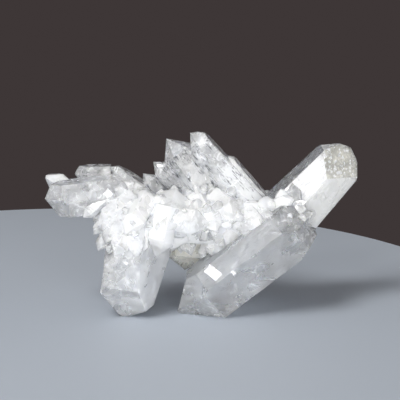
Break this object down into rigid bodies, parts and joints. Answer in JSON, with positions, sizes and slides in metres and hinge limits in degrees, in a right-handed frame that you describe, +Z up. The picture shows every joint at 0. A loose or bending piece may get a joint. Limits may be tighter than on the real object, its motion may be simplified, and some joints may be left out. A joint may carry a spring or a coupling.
{
  "type": "faden quartz cluster",
  "caption": "Natural quartz crystal cluster: clear pointed crystals fanning out of a milky, knobbly middle, resting on blunt crystal points.",
  "frame": {"origin": "middle of the bounding box at its bottom, on the surface that the cluster rests on", "axes": "+X along the cluster's length, towards the longest clear crystal; +Y away from the viewer, across the thin direction; +Z up"},
  "size_m": [0.072, 0.0274, 0.0418],
  "materials": {
    "quartz": "glassy crystal faces, clear at the tips and milky in the middle"
  },
  "bodies": {
    "root": {"quartz_cluster": "quartz"}
  },
  "joints": []
}
